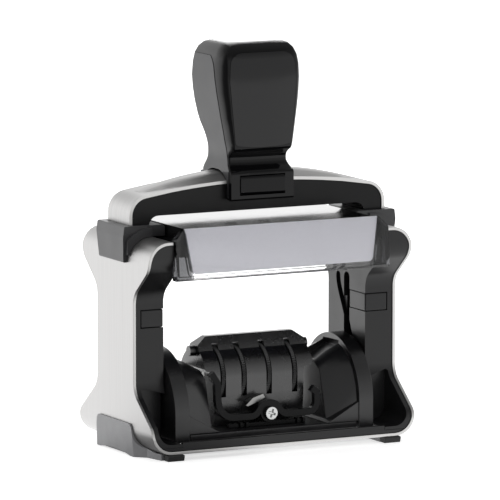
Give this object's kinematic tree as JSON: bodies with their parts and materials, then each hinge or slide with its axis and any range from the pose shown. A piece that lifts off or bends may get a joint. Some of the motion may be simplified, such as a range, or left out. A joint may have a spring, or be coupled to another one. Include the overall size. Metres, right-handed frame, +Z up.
{
  "type": "self-inking date stamp",
  "caption": "Desk date stamp with a steel frame: pushing the handle slides a bow down and flips the dater from its ink pad to the paper.",
  "frame": {"origin": "on the table under the middle of the frame", "axes": "+X to the right along the frame's width, +Y to the back, +Z up; the front faces -Y"},
  "size_m": [0.1174, 0.0649, 0.1557],
  "materials": {
    "frame_steel": "brushed along the strip",
    "bow_steel": "brushed along the strip",
    "spring_steel": "bright wire",
    "screw_steel": "bright zinc",
    "black_plastic": "fine matt texture",
    "black_gloss": "polished",
    "grey_plastic": "fine matt texture",
    "grip_soft": "soft touch",
    "toe_rubber": "matt",
    "clear_plastic": "clear, polished",
    "card_white": "plain card",
    "felt": "inked felt",
    "text_rubber": "matt"
  },
  "bodies": {
    "base": {"base_band": "frame_steel", "base_floor": "black_plastic", "left_side_housing": "black_plastic", "right_side_housing": "black_plastic", "left_guide_key": "black_plastic", "right_guide_key": "black_plastic", "left_collar": "grey_plastic", "right_collar": "grey_plastic", "left_foot": "grey_plastic", "right_foot": "grey_plastic", "rubber_toes": "toe_rubber", "rear_window": "clear_plastic", "rear_card": "card_white", "left_return_spring": "spring_steel", "right_return_spring": "spring_steel"},
    "cartridge": {"cartridge_tray": "black_plastic", "ink_pad": "felt", "front_window": "clear_plastic", "front_card": "card_white"},
    "bow": {"bow_band": "bow_steel", "bow_frame": "black_plastic", "handle_body": "black_gloss", "left_grip": "grip_soft", "right_grip": "grip_soft", "front_panel": "black_gloss", "top_card": "card_white", "top_window": "clear_plastic", "handle_screws": "screw_steel"},
    "lock": {"lock_button": "black_plastic"},
    "die": {"die_plate": "black_plastic", "text_plate": "text_rubber", "left_cheek": "black_plastic", "right_cheek": "black_plastic", "axle_pins": "screw_steel", "cam_pins": "screw_steel", "dater_housing": "black_plastic", "clamp_frame": "black_plastic", "clamp_screw": "screw_steel", "tension_clip": "screw_steel", "wheel_axle": "screw_steel", "band_anvil": "black_plastic", "date_band_1": "text_rubber", "date_band_2": "text_rubber", "date_band_3": "text_rubber", "date_band_4": "text_rubber"},
    "wheel_1": {"date_wheel_1": "black_plastic"},
    "wheel_2": {"date_wheel_2": "black_plastic"},
    "wheel_3": {"date_wheel_3": "black_plastic"},
    "wheel_4": {"date_wheel_4": "black_plastic"}
  },
  "joints": [
    {"name": "bow_slide", "type": "slide", "parent": "base", "child": "bow", "axis": [0, 0, 1], "range_m": [0, 0.045], "deforming": ["left_return_spring", "right_return_spring"]},
    {"name": "die_flip", "type": "hinge", "parent": "bow", "child": "die", "pos_m": [0, 0, 0.0155], "axis": [1, 0, 0], "range_deg": [-180, 0]},
    {"name": "lock_button_press", "type": "slide", "parent": "bow", "child": "lock", "axis": [0, 1, 0], "range_m": [0, 0.0014], "stiffness_N_per_m": 500},
    {"name": "cartridge_slide", "type": "slide", "parent": "base", "child": "cartridge", "axis": [0, -1, 0], "range_m": [0, 0.055]},
    {"name": "date_wheel_1_turn", "type": "hinge", "parent": "die", "child": "wheel_1", "pos_m": [0, 0, 0.0268], "axis": [1, 0, 0], "continuous": true},
    {"name": "date_wheel_2_turn", "type": "hinge", "parent": "die", "child": "wheel_2", "pos_m": [0, 0, 0.0268], "axis": [1, 0, 0], "continuous": true},
    {"name": "date_wheel_3_turn", "type": "hinge", "parent": "die", "child": "wheel_3", "pos_m": [0, 0, 0.0268], "axis": [1, 0, 0], "continuous": true},
    {"name": "date_wheel_4_turn", "type": "hinge", "parent": "die", "child": "wheel_4", "pos_m": [0, 0, 0.0268], "axis": [1, 0, 0], "continuous": true}
  ],
  "couplings": [
    {"joint": "die_flip", "follows": "bow_slide", "rad_per_m": -69.813}
  ]
}
